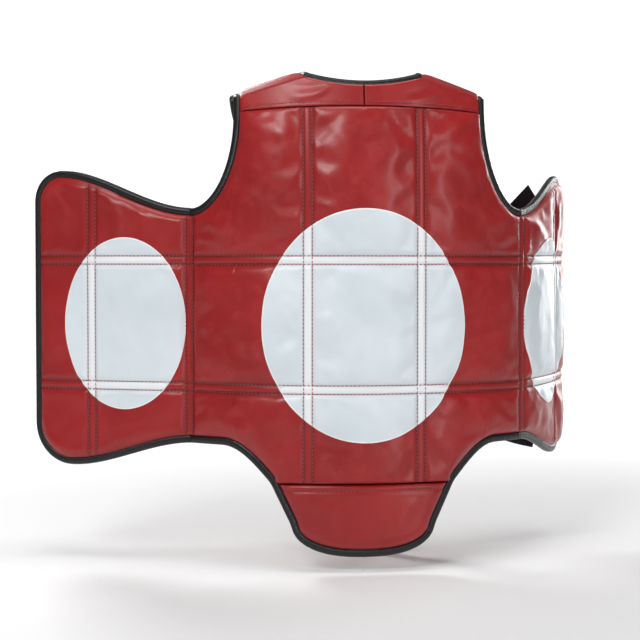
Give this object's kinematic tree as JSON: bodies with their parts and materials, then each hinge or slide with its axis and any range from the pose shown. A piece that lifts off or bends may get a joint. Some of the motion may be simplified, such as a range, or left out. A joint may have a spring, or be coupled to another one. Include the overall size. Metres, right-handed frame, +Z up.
{
  "type": "chest protector",
  "caption": "Quilted padded chest protector with folding side wings, a lower flap, crossed shoulder strips and a tied webbing harness.",
  "frame": {"origin": "on the centre line of the lining's inner face, at the height of the centre of the chest target, where the wearer's breastbone meets the pad", "axes": "+Z up, -Y forwards out of the wearer's chest, +X towards the wearer's left"},
  "size_m": [0.6008, 0.2408, 0.5137],
  "materials": {
    "red_leather": "glossy artificial leather",
    "red_lining": "glossy artificial leather",
    "white_leather": "satin artificial leather",
    "foam": "closed-cell foam",
    "binding": "satin edge tape",
    "webbing": "woven tape"
  },
  "bodies": {
    "root": {"chest_cover": "red_leather", "chest_lining": "red_lining", "foam_upper_right": "foam", "foam_upper_centre": "foam", "foam_upper_left": "foam", "foam_middle_right": "foam", "foam_middle_centre": "foam", "foam_middle_left": "foam", "foam_lower_right": "foam", "foam_lower_centre": "foam", "foam_lower_left": "foam", "centre_target": "white_leather", "right_yoke": "red_leather", "left_yoke": "red_leather", "neck_binding": "binding", "right_armhole_binding": "binding", "left_armhole_binding": "binding", "hem_binding": "binding", "right_strip": "red_leather", "left_strip": "red_leather", "right_strip_binding": "binding", "left_strip_binding": "binding", "upper_right_strap": "webbing", "upper_left_strap": "webbing", "lower_right_strap": "webbing", "lower_left_strap": "webbing", "knot": "webbing", "hanging_tail": "webbing", "right_tail": "webbing", "left_tail": "webbing", "folded_tail": "webbing"},
    "right_wing": {"right_wing_cover": "red_leather", "right_wing_lining": "red_lining", "right_wing_binding": "binding", "right_target": "white_leather", "right_loop": "webbing", "right_foam_inner_upper": "foam", "right_foam_inner_middle": "foam", "right_foam_inner_lower": "foam", "right_foam_outer_upper": "foam", "right_foam_outer_middle": "foam", "right_foam_outer_lower": "foam"},
    "left_wing": {"left_wing_cover": "red_leather", "left_wing_lining": "red_lining", "left_wing_binding": "binding", "left_target": "white_leather", "left_loop": "webbing", "left_foam_inner_upper": "foam", "left_foam_inner_middle": "foam", "left_foam_inner_lower": "foam", "left_foam_outer_upper": "foam", "left_foam_outer_middle": "foam", "left_foam_outer_lower": "foam"},
    "lower_flap": {"flap_cover": "red_leather", "flap_lining": "red_lining", "flap_foam": "foam", "flap_binding": "binding"}
  },
  "joints": [
    {"name": "right_wing_fold", "type": "hinge", "parent": "root", "child": "right_wing", "pos_m": [-0.17461, 0.05902, 0], "axis": [0, 0, -1], "range_deg": [-15, 70], "deforming": ["upper_right_strap", "lower_right_strap"]},
    {"name": "left_wing_fold", "type": "hinge", "parent": "root", "child": "left_wing", "pos_m": [0.17461, 0.05902, 0], "axis": [0, 0, 1], "range_deg": [-50, 30], "deforming": ["upper_left_strap", "lower_left_strap"]},
    {"name": "lower_flap_fold", "type": "hinge", "parent": "root", "child": "lower_flap", "pos_m": [0, -0.0094, -0.163], "axis": [-1, 0, 0], "range_deg": [-6, 45]}
  ]
}
